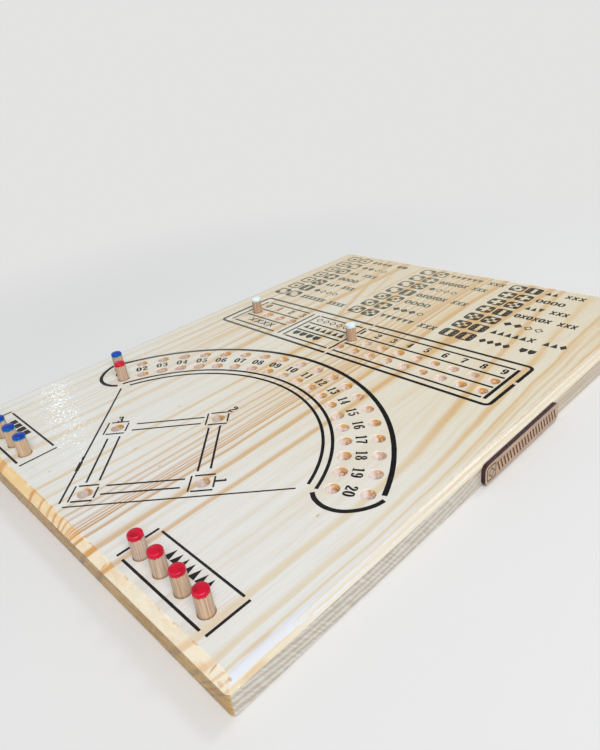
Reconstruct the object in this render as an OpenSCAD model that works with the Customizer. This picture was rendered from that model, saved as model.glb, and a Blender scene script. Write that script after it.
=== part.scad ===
// Tabletop baseball game: one pine board drilled with blind peg holes,
// the dowel pegs that stand in them, and a small plaque on the right-hand edge.
// Millimetres. The origin is the middle of the board's underside, +Z is up and
// +Y runs from home plate towards the scoreboard.

/* [Board] */
// Width of the board, left to right
board_w = 400; // [390:1:440]
// Length of the board, along the grain
board_l = 538; // [520:1:600]
// Thickness of the board
board_t = 18; // [15:0.5:24]
// Radius that eases the four upright corners
corner_r = 3; // [1:0.5:6]
// Width of the bevel round the top edge
bevel_w = 7.2; // [4:0.2:10]
// Height of the bevel round the top edge
bevel_drop = 2.7; // [1.5:0.1:4]
// How far the bevel bulges out from a flat chamfer
bevel_bulge = 0.4; // [0.1:0.05:0.6]

/* [Pegs] */
// Diameter of the dowel
peg_d = 10; // [8:0.5:11]
// Height of a team's peg above the board
team_stand = 18.5; // [14:0.5:24]
// Height of a scoreboard marker peg above the board
marker_stand = 17; // [14:0.5:24]
// Rounding of a team peg's tip
team_tip_r = 1.5; // [0.6:0.1:2]
// Rounding of a marker peg's tip
marker_tip_r = 0.6; // [0.4:0.1:1.5]
// Dome on the middle of each tip
tip_dome = 0.4; // [0.2:0.05:0.6]
// Chamfer round the foot of each peg
foot_chamfer = 0.6; // [0.3:0.1:1]

/* [Holes] */
// Depth of every blind hole
hole_depth = 10; // [8:0.5:12]
// Gap all round between a peg and its hole
peg_gap = 0.3; // [0.2:0.05:0.5]
// Countersink that eases the mouth of a hole
hole_rim = 0.4; // [0.2:0.1:0.6]

/* [Diamond] */
// Home plate hole to the board's front edge
home_inset = 29; // [27:0.5:40]
// How far first and third base lie to each side, and half of how far second base lies away
base_step = 60; // [50:0.5:62]

/* [Run track] */
// Home plate to the centre of the two arcs of holes, along Y
track_offset = 54; // [50:0.5:60]
// Radius of the inner arc of holes
inner_track_r = 148; // [140:0.5:150]
// Radial distance between the two arcs
track_row_gap = 24.7; // [20:0.1:27]
// Angle from one hole to the next
track_step = 7.12; // [6.5:0.01:7.3]

/* [Scoreboard] */
// Home plate to the upper row of holes, along Y
score_offset = 293; // [270:0.5:310]
// Distance between the two rows of inning holes
score_row_gap = 19; // [16:0.5:22]
// First inning hole, from the board's centre line
inning_x = -6.3; // [-12:0.1:-2]
// Distance from one inning hole to the next
inning_pitch = 19.4; // [17:0.1:20.5]
// First hole for outs, from the board's centre line
outs_x = -149; // [-160:0.5:-140]
// Distance from one hole for outs to the next
outs_pitch = 18.6; // [16:0.1:20]

/* [Peg stores] */
// Row of stored pegs to the board's front edge
store_inset = 22.5; // [17:0.5:26]
// Middle of the visitors' row to the board's right-hand edge
visitor_store_inset = 79.5; // [72:0.5:88]
// Middle of the home team's row to the board's left-hand edge
home_store_inset = 77; // [72:0.5:88]
// Distance from one stored peg to the next
store_pitch = 22.1; // [19:0.1:24]

/* [Plaque] */
// Length of the plaque along the board's edge
plaque_l = 105; // [80:1:140]
// Height of the plaque
plaque_h = 16; // [12:0.5:17.5]
// Thickness of the plaque
plaque_t = 3.2; // [2:0.2:5]
// Radius of the plaque's corners
plaque_r = 4.5; // [2:0.5:5.5]
// Middle of the plaque from the middle of the board's edge
plaque_y = 1.5; // [-60:0.5:60]
// Plaque's lower edge above the board's underside
plaque_rise = 0.4; // [0.2:0.1:1]
// Depth of the engraving
engraving = 0.4; // [0.2:0.1:0.8]
// Width of an engraved line
line_w = 0.8; // [0.5:0.1:1.2]
// Margin between the plaque's edge and its engraving
plaque_margin = 2.2; // [1.8:0.1:3]
// Gap between the emblem and the band of slanted strokes
emblem_gap = 3.4; // [2:0.1:6]
// Distance from one slanted stroke to the next
stroke_pitch = 4.1; // [3:0.1:6]
// Lean of the strokes
stroke_lean = 22; // [5:1:30]

/* [Hidden] */

// A cut reaches this far past the face that it opens
over = 1;
hole_d = peg_d + 2 * peg_gap;
hole_floor = board_t - hole_depth;

innings = 9;
outs = 4;
stored_pegs = 4;
track_holes = 20;

front_y = -board_l / 2;
home_y = front_y + home_inset;
track_y = home_y + track_offset;
score_y = home_y + score_offset;
store_y = front_y + store_inset;

// The bevel is part of a round bar: its radius follows from the chord and the bulge
bevel_chord = norm([bevel_w, bevel_drop]);
bevel_r = (pow(bevel_chord / 2, 2) + pow(bevel_bulge, 2)) / (2 * bevel_bulge);
bevel_back = bevel_r - bevel_bulge;

// Hole k of the run track, counted from the left, on an arc of the given radius
function track_spot(k, r) =
    let (a = 90 + ((track_holes + 1) / 2 - k) * track_step)
    [r * cos(a), track_y + r * sin(a)];

outer_track_r = inner_track_r + track_row_gap;
track_spots = [for (k = [1:track_holes], r = [inner_track_r, outer_track_r]) track_spot(k, r)];
base_spots = [[0, home_y], [base_step, home_y + base_step],
              [0, home_y + 2 * base_step], [-base_step, home_y + base_step]];
outs_spots = [for (k = [0:outs - 1]) [outs_x + k * outs_pitch, score_y]];
inning_spots = [for (k = [0:innings - 1], row = [0, 1])
    [inning_x + k * inning_pitch, score_y - row * score_row_gap]];

// Stored pegs are counted from the board's centre line outwards
function store_spot(side, inset, k) =
    [side * (board_w / 2 - inset + (k - (stored_pegs + 1) / 2) * store_pitch), store_y];
visitor_spots = [for (k = [1:stored_pegs]) store_spot(1, visitor_store_inset, k)];
home_spots = [for (k = [1:stored_pegs]) store_spot(-1, home_store_inset, k)];

hole_spots = concat(base_spots, track_spots, outs_spots, inning_spots,
                    visitor_spots, home_spots);

pine = "BurlyWood";
visitor_paint = "Crimson";
home_paint = "RoyalBlue";
marker_paint = "White";
plywood = "RosyBrown";

// A plate with upright corners rounded by r, centred on the Z axis
module rounded_plate(w, l, h, r) {
    translate([-w / 2, -l / 2 + r, 0]) cube([w, l - 2 * r, h]);
    translate([-w / 2 + r, -l / 2, 0]) cube([w - 2 * r, l, h]);
    for (x = [-1, 1], y = [-1, 1])
        translate([x * (w / 2 - r), y * (l / 2 - r), 0]) cylinder(r = r, h = h, $fn = 48);
}

// What the bevel takes off one long edge that lies along Y at x = 0, z = 0
module bevel_cut(l) {
    slope = atan2(bevel_drop, bevel_w);
    mid = [-bevel_w / 2, -bevel_drop / 2];
    centre = mid - bevel_back * [sin(slope), cos(slope)];
    difference() {
        translate([-bevel_w, -l / 2, -bevel_drop])
            cube([bevel_w + over, l, bevel_drop + over]);
        translate([centre.x, 0, centre.y]) rotate([90, 0, 0])
            cylinder(r = bevel_r, h = l + 2 * over, center = true, $fn = 180);
    }
}

// One blind hole with its countersink, its mouth at z = hole_depth
module peg_hole() {
    cylinder(d = hole_d, h = hole_depth + over, $fn = 48);
    translate([0, 0, hole_depth - hole_rim])
        cylinder(d1 = hole_d, d2 = hole_d + 2 * (hole_rim + over), h = hole_rim + over, $fn = 48);
}

module board() {
    color(pine)
    difference() {
        rounded_plate(board_w, board_l, board_t, corner_r);
        for (side = [0, 180]) {
            rotate([0, 0, side]) translate([board_w / 2, 0, board_t])
                bevel_cut(board_l + 2 * over);
            rotate([0, 0, side + 90]) translate([board_l / 2, 0, board_t])
                bevel_cut(board_w + 2 * over);
        }
        for (spot = hole_spots)
            translate([spot.x, spot.y, hole_floor]) peg_hole();
    }
}

// A dowel on the floor of the hole at spot, standing proud of the board by stand
module peg(spot, stand, tip_r, tint) {
    r = peg_d / 2;
    h = hole_depth + stand;
    crown_r = (pow(r - tip_r, 2) + pow(tip_dome, 2)) / (2 * tip_dome);
    color(tint)
    translate([spot.x, spot.y, hole_floor])
    intersection() {
        union() {
            cylinder(r1 = r - foot_chamfer, r2 = r, h = foot_chamfer, $fn = 48);
            translate([0, 0, foot_chamfer])
                cylinder(r = r, h = h - tip_dome - tip_r - foot_chamfer, $fn = 48);
            translate([0, 0, h - tip_dome - tip_r])
                rotate_extrude($fn = 48) translate([r - tip_r, 0]) circle(r = tip_r, $fn = 32);
            translate([0, 0, foot_chamfer])
                cylinder(r = r - tip_r, h = h - foot_chamfer, $fn = 48);
        }
        translate([0, 0, h - crown_r]) sphere(r = crown_r, $fn = 96);
    }
}

module visitor_peg(k) peg(visitor_spots[k - 1], team_stand, team_tip_r, visitor_paint);
module home_peg(k) peg(home_spots[k - 1], team_stand, team_tip_r, home_paint);

// Both teams' scoring pegs stand in the first pair of track holes
module visitor_score_peg()
    peg(track_spot(1, inner_track_r), team_stand, team_tip_r, visitor_paint);
module home_score_peg()
    peg(track_spot(1, outer_track_r), team_stand, team_tip_r, home_paint);

module outs_marker_peg() peg(outs_spots[0], marker_stand, marker_tip_r, marker_paint);
module inning_marker_peg() peg(inning_spots[0], marker_stand, marker_tip_r, marker_paint);

// A frame of line_w wide with rounded corners, for engraving
module engraved_frame(w, l, h, r) {
    difference() {
        rounded_plate(w, l, h, r);
        translate([0, 0, -over])
            rounded_plate(w - 2 * line_w, l - 2 * line_w, h + 2 * over, r - line_w / 2);
    }
}

// Engraving cut into the plaque's face: a framed diamond, then a band of slanted strokes.
// It is drawn lying flat, with the face at z = 0 and the plaque's length along Y.
module plaque_engraving() {
    emblem = plaque_h - 2 * plaque_margin;
    diamond = emblem / 2;
    stroke = emblem * 0.8;
    band_from = -plaque_l / 2 + plaque_margin + emblem + emblem_gap;
    band_to = plaque_l / 2 - plaque_margin - emblem / 4;
    strokes = floor((band_to - band_from) / stroke_pitch);
    cut = engraving + over;
    translate([0, -plaque_l / 2 + plaque_margin + emblem / 2, -engraving]) {
        engraved_frame(emblem, emblem, cut, emblem / 5);
        rotate([0, 0, 45]) difference() {
            translate([-diamond / 2, -diamond / 2, 0]) cube([diamond, diamond, cut]);
            translate([line_w - diamond / 2, line_w - diamond / 2, -over])
                cube([diamond - 2 * line_w, diamond - 2 * line_w, cut + 2 * over]);
        }
    }
    for (k = [0:strokes])
        translate([0, band_from + k * stroke_pitch, -engraving]) rotate([0, 0, stroke_lean])
            translate([-stroke / 2, -line_w, 0]) cube([stroke, 2 * line_w, cut]);
}

module side_plaque() {
    color(plywood)
    translate([board_w / 2, plaque_y, plaque_rise + plaque_h / 2])
    rotate([0, 90, 0])
    difference() {
        rounded_plate(plaque_h, plaque_l, plaque_t, plaque_r);
        translate([0, 0, plaque_t]) plaque_engraving();
    }
}

board();
visitor_peg(1);  // visitor_peg_1
visitor_peg(2);  // visitor_peg_2
visitor_peg(3);  // visitor_peg_3
visitor_peg(4);  // visitor_peg_4
visitor_score_peg();
home_peg(1);  // home_peg_1
home_peg(2);  // home_peg_2
home_peg(3);  // home_peg_3
home_peg(4);  // home_peg_4
home_score_peg();
outs_marker_peg();
inning_marker_peg();
side_plaque();
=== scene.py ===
"""Looks of the tabletop baseball game: varnished pine board, painted line work and dipped pegs.

Lengths in the tables below are millimetres in the model's frame, with z measured from the
board's underside; everything that is made is scaled to metres. Colours are linear.
"""
from math import cos, hypot, pi, radians, sin

import bpy
from mathutils import Matrix, Vector, noise


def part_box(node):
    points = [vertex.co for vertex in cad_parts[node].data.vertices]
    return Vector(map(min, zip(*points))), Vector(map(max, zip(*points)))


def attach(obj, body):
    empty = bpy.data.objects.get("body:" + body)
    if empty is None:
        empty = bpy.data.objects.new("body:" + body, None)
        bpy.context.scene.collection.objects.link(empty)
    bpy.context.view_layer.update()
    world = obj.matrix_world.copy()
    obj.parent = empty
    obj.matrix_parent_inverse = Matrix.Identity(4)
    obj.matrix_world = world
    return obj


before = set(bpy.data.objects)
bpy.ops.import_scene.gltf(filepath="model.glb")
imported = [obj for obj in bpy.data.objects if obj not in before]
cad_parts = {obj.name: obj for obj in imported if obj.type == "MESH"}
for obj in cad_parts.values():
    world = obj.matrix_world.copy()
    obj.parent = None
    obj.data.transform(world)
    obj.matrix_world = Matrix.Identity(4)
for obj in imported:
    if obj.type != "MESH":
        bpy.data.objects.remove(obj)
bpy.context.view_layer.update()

MM = 0.001

# Photograph's camera, in metres
CAMERA_AT = (0.374, -0.3505, 0.2742)
CAMERA_RIGHT = Vector((0.6959, 0.7086, -0.1166))
CAMERA_FORWARD = Vector((-0.6692, 0.581, -0.4632))
FOCAL_PX = 613.4
IMAGE_HEIGHT_PX = 750
SENSOR_MM = 36
CLIP = (0.01, 60)

TOP = 18
BOARD_HALF_LENGTH = 269
BEVEL_WIDTH = 7.2
BEVEL_DROP = 2.7
HOLE_FLOOR = 8

TEAM_PEGS = ["peg_1", "peg_2", "peg_3", "peg_4", "score_peg"]


def link(name, data):
    """A new object in the scene."""
    made = bpy.data.objects.new(name, data)
    bpy.context.scene.collection.objects.link(made)
    return made


def make_camera():
    data = bpy.data.cameras.new("photo_camera")
    data.sensor_fit = "AUTO"
    data.sensor_width = SENSOR_MM
    data.lens = FOCAL_PX / IMAGE_HEIGHT_PX * SENSOR_MM
    data.clip_start, data.clip_end = CLIP
    camera = link("photo_camera", data)
    forward = CAMERA_FORWARD.normalized()
    right = CAMERA_RIGHT - CAMERA_RIGHT.dot(forward) * forward
    right.normalize()
    up = right.cross(forward)
    turn = Matrix((right, up, -forward)).transposed().to_4x4()
    camera.matrix_world = Matrix.Translation(CAMERA_AT) @ turn
    bpy.context.scene.camera = camera


class Net:
    """A material's net of nodes, with short calls for the nodes that finishes are made of."""

    def __init__(self, name):
        self.material = bpy.data.materials.new(name)
        self.material.use_nodes = True
        self.tree = self.material.node_tree
        self.shader = self.tree.nodes["Principled BSDF"]
        self.output = self.tree.nodes["Material Output"]

    def node(self, kind, **settings):
        made = self.tree.nodes.new(kind)
        for key, value in settings.items():
            setattr(made, key, value)
        return made

    def put(self, value, socket):
        """Link a socket or set its value; a colour is given without its alpha."""
        if isinstance(value, bpy.types.NodeSocket):
            self.tree.links.new(value, socket)
        elif value is not None:
            socket.default_value = (*value, 1) if socket.type == "RGBA" else value

    def fill(self, node, values):
        for value, socket in zip(values, node.inputs):
            self.put(value, socket)
        return node.outputs[0]

    def math(self, operation, *values, clamp=False):
        made = self.node("ShaderNodeMath", operation=operation, use_clamp=clamp)
        return self.fill(made, values)

    def minus(self, a, b):
        return self.math("SUBTRACT", a, b)

    def times(self, a, b, clamp=False):
        return self.math("MULTIPLY", a, b, clamp=clamp)

    def times_plus(self, a, b, c):
        return self.math("MULTIPLY_ADD", a, b, c)

    def larger(self, a, b):
        return self.math("MAXIMUM", a, b)

    def largest(self, levels):
        total = levels[0]
        for level in levels[1:]:
            total = self.larger(total, level)
        return total

    def size(self, a):
        return self.math("ABSOLUTE", a)

    def vector(self, operation, a, b=None):
        made = self.node("ShaderNodeVectorMath", operation=operation)
        self.put(a, made.inputs[0])
        self.put(b, made.inputs["Scale"] if operation == "SCALE" else made.inputs[1])
        return made.outputs["Value" if operation == "LENGTH" else "Vector"]

    def split(self, vector):
        made = self.node("ShaderNodeSeparateXYZ")
        self.put(vector, made.inputs[0])
        return made.outputs

    def join(self, x, y, z):
        made = self.node("ShaderNodeCombineXYZ")
        return self.fill(made, (x, y, z))

    def fit(self, value, low, high, to_low=0, to_high=1, smooth=True):
        """Level that goes from to_low to to_high while the value goes from low to high."""
        kind = "SMOOTHSTEP" if smooth else "LINEAR"
        made = self.node("ShaderNodeMapRange", interpolation_type=kind)
        return self.fill(made, (value, low, high, to_low, to_high))

    def blend(self, share, a, b):
        made = self.node("ShaderNodeMix", data_type="RGBA")
        for value, index in ((share, 0), (a, 6), (b, 7)):
            self.put(value, made.inputs[index])
        return made.outputs[2]

    def noise(self, vector, scale=1, detail=2, roughness=0.5):
        made = self.node("ShaderNodeTexNoise")
        for value, name in ((vector, "Vector"), (scale, "Scale"), (detail, "Detail"),
                            (roughness, "Roughness")):
            self.put(value, made.inputs[name])
        return made.outputs["Fac"]

    def stretched(self, vector, stretch, detail=2, roughness=0.5):
        """Noise with a scale of its own along each axis."""
        return self.noise(self.vector("MULTIPLY", vector, stretch), 1, detail, roughness)

    def ramp(self, value, stops):
        """A level read from stops of (place, level)."""
        made = self.node("ShaderNodeValToRGB")
        self.put(value, made.inputs[0])
        line = made.color_ramp
        while len(line.elements) > 1:
            line.elements.remove(line.elements[-1])
        for index, (place, level) in enumerate(stops):
            stop = line.elements[0] if index == 0 else line.elements.new(place)
            stop.position = place
            stop.color = (level, level, level, 1)
        return made.outputs[0]

    def place(self):
        """Object coordinates in millimetres."""
        made = self.node("ShaderNodeTexCoord")
        return self.vector("SCALE", made.outputs["Object"], 1 / MM)

    def normal(self):
        made = self.node("ShaderNodeTexCoord")
        return made.outputs["Normal"]

    def bump(self, height, strength, distance, under=None):
        made = self.node("ShaderNodeBump")
        for value, name in ((strength, "Strength"), (distance * MM, "Distance"),
                            (height, "Height"), (under, "Normal")):
            self.put(value, made.inputs[name])
        return made.outputs[0]

    def finish(self, color, roughness, normal=None, coat=0, coat_roughness=0.1,
               coat_normal=None, specular=0.5):
        for value, name in ((color, "Base Color"), (roughness, "Roughness"), (normal, "Normal"),
                            (coat, "Coat Weight"), (coat_roughness, "Coat Roughness"),
                            (coat_normal or normal, "Coat Normal"),
                            (specular, "Specular IOR Level")):
            self.put(value, self.shader.inputs[name])
        return self.material


# Pine: growth rings measured across the board, each (middle, width, depth of colour)
RINGS = [
    (-196, 3, 0.35), (-182, 4, 0.3), (-168, 5, 0.55), (-155, 6, 0.4), (-143, 1.9, 0.5),
    (-139.5, 1.4, 0.45), (-134, 2.6, 0.6), (-129.5, 1.4, 0.5), (-122, 5, 0.3), (-108, 4.4, 0.55),
    (-92, 9, 0.6), (-36, 5, 0.8), (-19, 4, 0.65), (-5.6, 3.6, 0.6), (4.6, 3.6, 0.65),
    (13.6, 3.2, 0.7), (20.1, 2.8, 0.6), (27.2, 3.6, 0.55), (30.6, 1.7, 1), (33.5, 1.6, 1),
    (36, 2.5, 1), (42.9, 3.3, 0.9), (58, 6.2, 0.87), (80.3, 5.4, 0.8),
    (162.4, 6.4, 0.65), (180.6, 5, 0.6), (189.5, 2, 0.7), (194.8, 1.8, 0.5),
    (199.6, 2.4, 0.7),
]
# Wide honey bands that join them on the far two thirds of the board
HONEY_BANDS = [
    (-178, 7, 0.5), (-150, 9, 0.55), (-131, 10, 0.6), (-112, 7, 0.5), (-95, 9, 0.6),
    (-36, 13, 0.75), (-14, 8, 0.45), (8, 12, 0.5), (27, 14, 0.6), (39.6, 8, 0.7),
    (52.7, 9, 0.6), (79.6, 12, 0.75), (105.4, 9, 0.3), (150.9, 8, 0.25), (163.8, 5.5, 0.85),
    (180.4, 2.6, 0.8), (191.5, 2.4, 0.75),
]
BANDS_PER_RAMP = 7
# A band's profile, in widths from its middle: a soft rise, a level, then a sharp fall
BAND_PROFILE = [(-0.68, 0), (-0.18, 1), (0.3, 1), (0.55, 0)]
STOP_GAP = 0.0005

# Zones are (from, to), or (from, to, level at from, level at to), for Net.fit.
# Lean of the rings to the left, along the board and then across it
LEAN_Y = (-150, 275)
LEAN_DRIFT = 35
LEAN_X = (-200, 240)
LEAN_SHARE = [(0, 0), (0.47, 0.05), (0.6, 0.3), (0.66, 0.22), (0.7, 0.02), (0.73, 0.1),
              (0.77, 0.98), (0.81, 0.98), (0.85, 0.74), (0.89, 0.52), (0.96, 0.16), (1, 0)]
LEAN_REACH = 55
# Where the lean spreads one ring wide, and the share of its colour that it loses there
SPREAD_AT = 181.5
SPREAD_OFF = (6.5, 4.5)
SPREAD_Y = (40, 150)
SPREAD_LOSS = -0.8
# How far a ring moves sideways for each millimetre below the face, left and right of the pith
RING_TILT = (12, 40, -1.9, 0.95)
END_DEPTH = (0.7, 0.9, BEVEL_DROP, TOP)
# Waves in the grain: stretch and roughness of the noise, and how far it moves a ring
WAVES = [((0.012, 0.006, 0.01), 0.5, 9), ((0.09, 0.02, 0.09), 0.6, 2.2)]
FIBRE = (1.6, 0.035, 1.2)

# Cathedral figures along the board: tip x and y, lean, spread, line width, filled or not, depth
FIGURES = [
    (76, 84, 0.06, 0.2, 9, True, 0.85),
    (-57, 86, -0.13, 0.24, 8, False, 0.65),
    (-66, 150, -0.16, 0.15, 5, False, 0.35),
]
FIGURE_REACH = 60
FIGURE_HOLLOW = (18, 70, 0, 0.85)
# Resin flecks: middle x and y, half width, half length, depth of colour
FLECKS = [
    (-19, -187, 0.7, 2.4, 0.8), (148, -155, 0.7, 2, 0.8), (17, -188, 0.7, 1.6, 0.8),
    (-45, -128, 0.7, 1.8, 0.8), (-48, -245, 0.7, 1.5, 0.8), (183.4, -264.6, 0.7, 3.2, 0.8),
    (194.6, -263.2, 1.3, 1, 0.7), (192, -267.4, 2.4, 1.1, 0.4), (76, -266, 0.7, 2.2, 0.8),
    (199, -252, 1.7, 9, 0.35), (190.2, -241, 1.4, 12, 0.3),
]

# Colour of the playing face and where each colour lies; a pair is the two ends of a blend
CREAM_NEAR = ((0.79, 0.79, 0.76), (0.785, 0.8, 0.775))
# The far and chart colours are yellower wood, and darker as painted shade of light that falls off
# far away
CREAM_FAR_SHADED = ((0.755, 0.705, 0.565), (0.785, 0.76, 0.67))
CREAM_CHART_SHADED = (0.735, 0.665, 0.505)
CREAM_Y, CREAM_CHART_Y = (-230, 60), (40, 230)
CREAM_LEFT_X = (20, -110)
AGED = ((0.74, 0.69, 0.6), (0.73, 0.62, 0.42))
AGED_STRETCH, AGED_RIGHT = (0.16, 0.004, 0), (198, 212, 1, 0.3)
HONEY = (0.72, 0.515, 0.265)
HONEY_Y, HONEY_STRETCH = (-110, 10), (0.07, 0.012, 0)
TAN = ((0.645, 0.425, 0.22), (0.645, 0.395, 0.145))
TAN_Y = (-225, -40)
PITH_PINK = (0.57, 0.345, 0.18)
PITH_AT, PITH_OFF, PITH_Y = 30, (8, 24, 1, 0), (-90, -220, 0.25, 1)
BEIGE = (0.715, 0.57, 0.345)
BEIGE_LEFT, BEIGE_RIGHT, BEIGE_Y = (8, -14), (125, 150), (20, -140)
RIM_HONEY = (0.74, 0.62, 0.4)
RIM_X, RIM_Y = (197.6, 199.2), (-205, -240, 0.4, 0.85)
FIBRE_BROWN = (0.58, 0.43, 0.27)
FLECK_BROWN = (0.6, 0.33, 0.15)

# Front and back: a honey bevel over a browner face
BEVEL_HONEY = ((0.88, 0.6, 0.255), (0.9, 0.82, 0.65))
BEVEL_X = (-110, 120)
BEVEL_DARK, BEVEL_LIGHT = (0.83, 0.55, 0.25), (0.9, 0.78, 0.54)
BEVEL_RING = (0.68, 0.34, 0.11)
BEVEL_RING_X = (60, 120, 1.3, 0.7)
END_BROWN = ((0.38, 0.215, 0.065), (0.6, 0.39, 0.14))
END_SLOPE = -0.11
END_RING, END_RING_SHARE = (0.28, 0.17, 0.09), 0.9

# Long upright sides: near growth bands sag to a lowest place, far ones are long grain lines
SAG_AT = -160
SAG_PER_SQUARE_MM = 0.0007
SIDE_BAND = 4.4
SIDE_WANDER = 5
HATCH_ALONG, HATCH_UP = 0.77, 0.64
SIDE_NEAR = ((0.44, 0.375, 0.295), (0.62, 0.605, 0.565))
SIDE_FAR = ((0.42, 0.34, 0.245), (0.57, 0.505, 0.41))
SIDE_Y = (-110, 20)

# Painted highlights on the right-hand bevel: bluish-white streaks that stand for its reflection;
# middle x and half width, far and near
HIGHLIGHT_STREAKS = [
    ((192, 1), (193.4, 3)),
    ((194.9, 0.9), (194.6, 1.6)),
    ((198.2, 0.8), (195.2, 2)),
]
STREAK_DRIFT = 1.6
STREAK_HIGHLIGHT = ((0.72, 0.76, 0.85), (0.79, 0.79, 0.76))
STREAK_WIDEN_Y, STREAK_COLOR_Y = (-195, -245), (-210, -40)
STREAK_GAP = (0.72, 0.6, 0.4)
STREAK_GAP_X, STREAK_GAP_Y = (191, 193), (-190, -50, 0, 0.45)

# Beads on the upper edge of the near bevel: the bright ones are painted glints of the varnish,
# the amber ones are resin
ARRIS_GLINT, ARRIS_AMBER = (0.92, 0.9, 0.8), (0.62, 0.34, 0.13)
ARRIS_AT = BOARD_HALF_LENGTH - BEVEL_WIDTH + 0.6
ARRIS_Y = (-100, -180)

# Holes: their walls, then their floors and where they lie
# The pale wall colour is raised as painted light, for the light that falls on the walls facing
# left
LINING_PALE_LIT = ((0.88, 0.8, 0.79), (0.97, 0.93, 0.92))
LINING_LEFT, LINING_LEFT_X = (0.61, 0.455, 0.385), (40, -120, 0, 0.7)
LINING_FIBRES = ((0.5, 0.235, 0.1), (0.88, 0.66, 0.52))
LINING_GOLD, LINING_GOLD_Z = (0.86, 0.45, 0.09), (13, 15.5)
# Bright specks on the torn fibres are painted glints of the varnish
LINING_GLINT = (0.98, 0.95, 0.91)
# The base holes are darkened inside as painted shade
BASE_HOLE_SHADE = (0.34, 0.225, 0.14)
BASE_X, BASE_Y = (90, 80), (-100, -110, 0, 0.24)
HOLE_BOTTOM = (0.93, 0.86, 0.8)
HOLES_X, HOLES_Y = (192, 190), (261, 259)

# Varnish
BEAD_SCALE, BEAD_COAT = 0.42, (0.53, 0.61, 0.02, 0.7)
BEVEL_COAT, BEVEL_COAT_X = (0.16, 0.16, 0.16), (190, 192.5)
HOLE_COAT = 0.7


def band_stops(bands, low, high):
    """Ramp stops for some bands between low and high."""
    stops = [(0, 0)]
    for middle, width, depth in bands:
        for offset, share in BAND_PROFILE:
            place = max((middle + offset * width - low) / (high - low), stops[-1][0] + STOP_GAP)
            stops.append((min(place, 1), share * depth))
    return stops


def pine_bands(net, across, bands):
    """Depth of colour at a place measured across the board in millimetres."""
    levels = []
    for first in range(0, len(bands), BANDS_PER_RAMP):
        some = bands[first:first + BANDS_PER_RAMP]
        low = some[0][0] - some[0][1]
        high = some[-1][0] + some[-1][1]
        place = net.fit(across, low, high, smooth=False)
        levels.append(net.ramp(place, band_stops(some, low, high)))
    return net.largest(levels)


def pine_warp(net, x, y, depth, flat):
    """Where a point lies across the rings: they lean to the left along the board.

    On the bevels they follow the tilt for a little way, on the upright ends all the way down.
    """
    lean = net.fit(y, *LEAN_Y)
    zone = net.fit(net.times_plus(lean, LEAN_DRIFT, x), *LEAN_X, smooth=False)
    shift = net.times(lean, net.ramp(zone, LEAN_SHARE))
    leaned = net.times_plus(shift, LEAN_REACH, x)
    dip = net.math("MINIMUM", depth, net.fit(flat, *END_DEPTH))
    return net.times_plus(dip, net.fit(x, *RING_TILT), leaned)


def pine_spread(net, y, across):
    """Share of a ring's colour that is left where the lean spreads it wide, far on the right."""
    off = net.size(net.minus(across, SPREAD_AT))
    spread = net.times(net.fit(off, *SPREAD_OFF), net.fit(y, *SPREAD_Y))
    return net.times_plus(spread, SPREAD_LOSS, 1)


def pine_figure(net, x, y, figure):
    """A tongue of latewood that opens along +Y from its tip: filled, or its outline alone."""
    tip_x, tip_y, lean, spread, width, filled, depth = figure
    beyond = net.minus(y, tip_y)
    aside = net.size(net.minus(x, net.times_plus(beyond, lean, tip_x)))
    reach = net.math("MINIMUM", beyond, FIGURE_REACH) if filled else beyond
    off = net.minus(aside, net.times(reach, spread))
    if not filled:
        off = net.size(off)
    level = net.fit(off, 0.15 * width, 0.55 * width, depth, 0)
    if filled:
        hollow = net.times(net.fit(off, -0.15 * width, -0.9 * width),
                           net.fit(beyond, *FIGURE_HOLLOW))
        level = net.times(level, net.minus(1, hollow))
    return level


def pine_flecks(net, x, y):
    levels = []
    for middle_x, middle_y, half_width, half_length, depth in FLECKS:
        across = net.times(net.minus(x, middle_x), 1 / half_width)
        along = net.times(net.minus(y, middle_y), 1 / half_length)
        away = net.vector("LENGTH", net.join(across, along, 0))
        levels.append(net.fit(away, 0.5, 1.2, depth, 0))
    return net.largest(levels)


def pine_cream(net, x, y, z, across):
    """Colour of the earlywood: paler near, darker and yellower far, with aged streaks; the far
    darkening is partly painted shade where the light falls off.
    """
    far = net.fit(y, *CREAM_Y)
    left = net.fit(x, *CREAM_LEFT_X)
    far_shaded = net.blend(left, *CREAM_FAR_SHADED)
    cream = net.blend(far, net.blend(left, *CREAM_NEAR), far_shaded)
    cream = net.blend(net.fit(y, *CREAM_CHART_Y), cream, CREAM_CHART_SHADED)
    streak = net.stretched(net.join(across, y, z), AGED_STRETCH)
    ageing = net.times(net.fit(streak, 0.42, 0.75, 0, 0.75), net.fit(across, *AGED_RIGHT))
    return net.blend(ageing, cream, net.blend(far, *AGED))


def pine_tan(net, y, across):
    """Colour of the latewood: pinker by the pith, beige on the near sides."""
    tan = net.blend(net.fit(y, *TAN_Y), *TAN)
    off = net.size(net.minus(across, PITH_AT))
    pink = net.times(net.fit(off, *PITH_OFF), net.fit(y, *PITH_Y))
    tan = net.blend(pink, tan, PITH_PINK)
    sides = net.larger(net.fit(across, *BEIGE_LEFT), net.fit(across, *BEIGE_RIGHT))
    return net.blend(net.times(sides, net.fit(y, *BEIGE_Y)), tan, BEIGE)


def pine_top(net, x, y, z, across, late, fibre):
    """Colour of the faces that run along the fibres."""
    patch = net.stretched(net.join(across, y, z), HONEY_STRETCH)
    honey = net.times(pine_bands(net, across, HONEY_BANDS), net.fit(y, *HONEY_Y))
    honey = net.times(honey, net.fit(patch, 0.3, 0.62, 0.35, 1))
    color = net.blend(honey, pine_cream(net, x, y, z, across), HONEY)
    color = net.blend(late, color, pine_tan(net, y, across))
    rim = net.times(net.fit(x, *RIM_X), net.fit(y, *RIM_Y))
    color = net.blend(rim, color, RIM_HONEY)
    return net.blend(net.fit(fibre, 0.45, 0.8, 0, 0.34), color, FIBRE_BROWN)


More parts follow.
